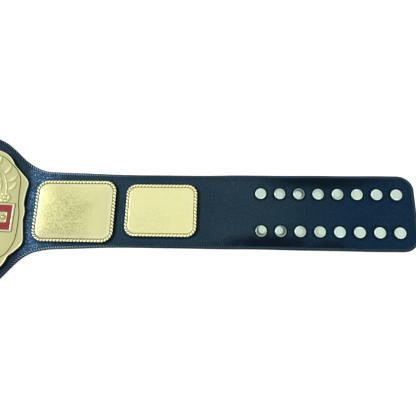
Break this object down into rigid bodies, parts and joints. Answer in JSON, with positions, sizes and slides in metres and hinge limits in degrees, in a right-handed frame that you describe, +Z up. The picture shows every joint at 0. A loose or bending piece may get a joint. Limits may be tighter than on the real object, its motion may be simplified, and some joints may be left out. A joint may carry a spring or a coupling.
{
  "type": "championship title belt",
  "caption": "Leather championship belt lying face up, with a curved cast main plate, rope-edged side plates and rows of snap fasteners at both ends.",
  "frame": {"origin": "centre of the belt's footprint on the surface that it lies on", "axes": "+X along the strap towards the end with the snap caps, +Y across the strap towards the main plate's top, +Z up out of the belt's face"},
  "size_m": [1.3101, 0.226, 0.0235],
  "materials": {
    "leather": "grained, semi-gloss, dark blue-black",
    "gold": "pale gold plating, satin with fine scratches",
    "enamel": "glossy red enamel fill",
    "nickel": "polished nickel"
  },
  "bodies": {
    "root": {"strap": "leather", "main_plate": "gold", "enamel_right": "enamel", "enamel_left": "enamel", "side_plate_right_inner": "gold", "side_plate_left_inner": "gold", "side_plate_right_outer": "gold", "side_plate_left_outer": "gold", "snap_cap_right_upper_1": "nickel", "snap_cap_right_upper_2": "nickel", "snap_cap_right_upper_3": "nickel", "snap_cap_right_upper_4": "nickel", "snap_cap_right_upper_5": "nickel", "snap_cap_right_upper_6": "nickel", "snap_cap_right_upper_7": "nickel", "snap_cap_right_upper_8": "nickel", "snap_cap_right_lower_1": "nickel", "snap_cap_right_lower_2": "nickel", "snap_cap_right_lower_3": "nickel", "snap_cap_right_lower_4": "nickel", "snap_cap_right_lower_5": "nickel", "snap_cap_right_lower_6": "nickel", "snap_cap_right_lower_7": "nickel", "snap_cap_right_lower_8": "nickel", "snap_stud_left_upper_1": "nickel", "snap_stud_left_upper_2": "nickel", "snap_stud_left_upper_3": "nickel", "snap_stud_left_upper_4": "nickel", "snap_stud_left_upper_5": "nickel", "snap_stud_left_upper_6": "nickel", "snap_stud_left_upper_7": "nickel", "snap_stud_left_upper_8": "nickel", "snap_stud_left_lower_1": "nickel", "snap_stud_left_lower_2": "nickel", "snap_stud_left_lower_3": "nickel", "snap_stud_left_lower_4": "nickel", "snap_stud_left_lower_5": "nickel", "snap_stud_left_lower_6": "nickel", "snap_stud_left_lower_7": "nickel", "snap_stud_left_lower_8": "nickel"}
  },
  "joints": []
}
